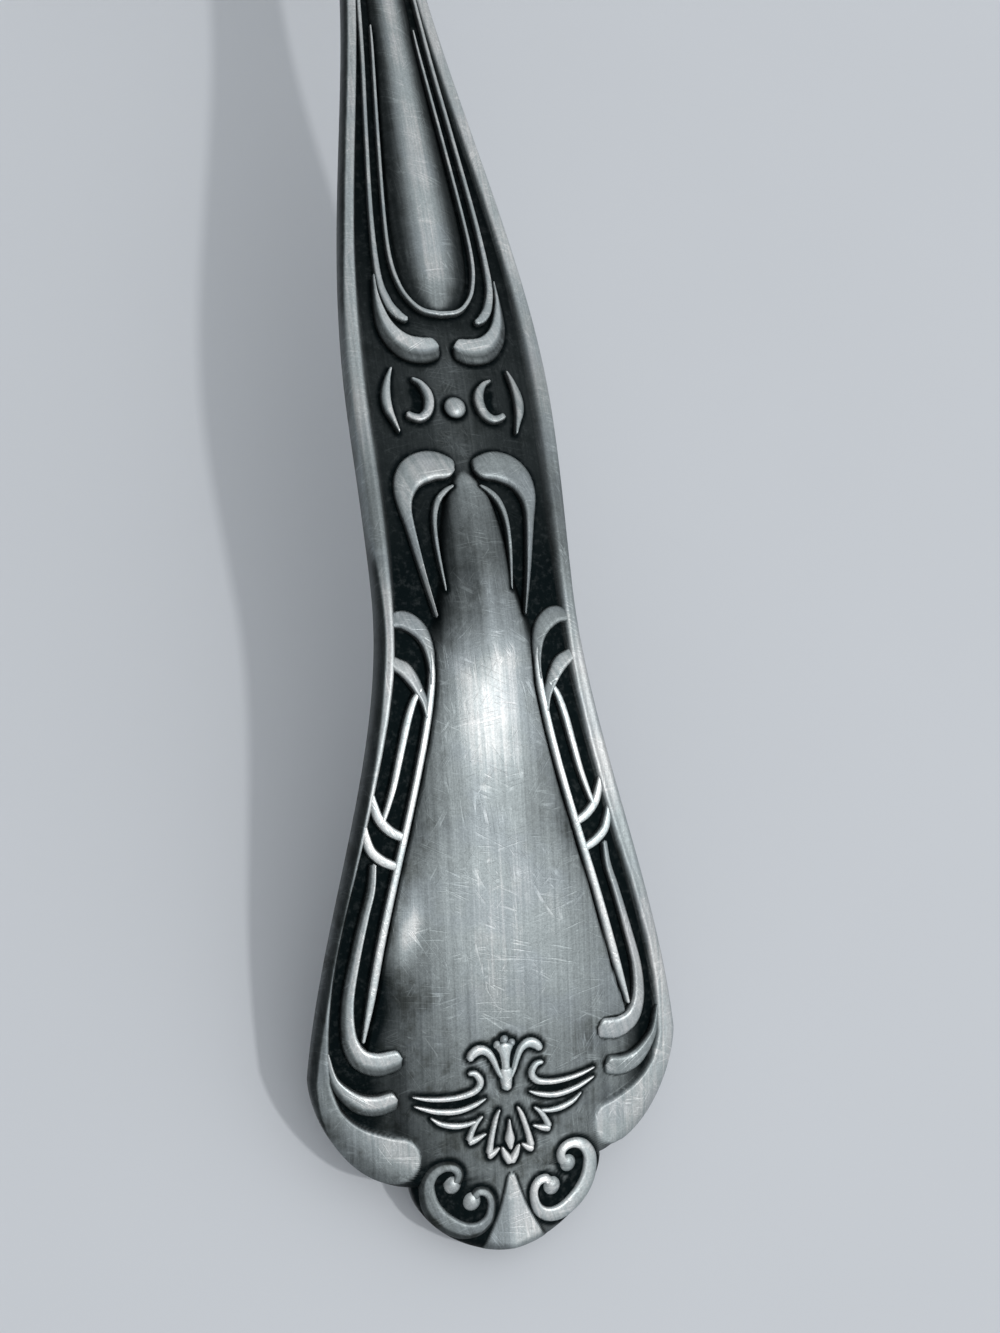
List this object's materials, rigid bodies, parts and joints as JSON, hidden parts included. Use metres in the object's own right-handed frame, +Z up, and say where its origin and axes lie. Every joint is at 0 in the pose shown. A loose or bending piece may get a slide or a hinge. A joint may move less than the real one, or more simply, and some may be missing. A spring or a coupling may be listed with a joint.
{
  "type": "soup ladle",
  "caption": "Soup ladle with a deep round bowl and a long arched handle, flared at its end and struck with reed, scroll and palmette relief, soldered to the bowl's back.",
  "frame": {"origin": "centre of the small worn flat under the bowl, on the surface that the ladle lies on", "axes": "+Z up, -Y along the handle towards its end, +X to the right of someone holding the handle"},
  "size_m": [0.095, 0.2947, 0.0567],
  "materials": {
    "bowl_plate": "worn silver plate, satin with fine scratches",
    "handle_plate": "worn silver plate, bright on the relief and black with tarnish in the recesses",
    "solder": "dull silver solder"
  },
  "bodies": {
    "root": {"bowl": "bowl_plate", "handle": "handle_plate", "solder_seam": "solder"}
  },
  "joints": []
}
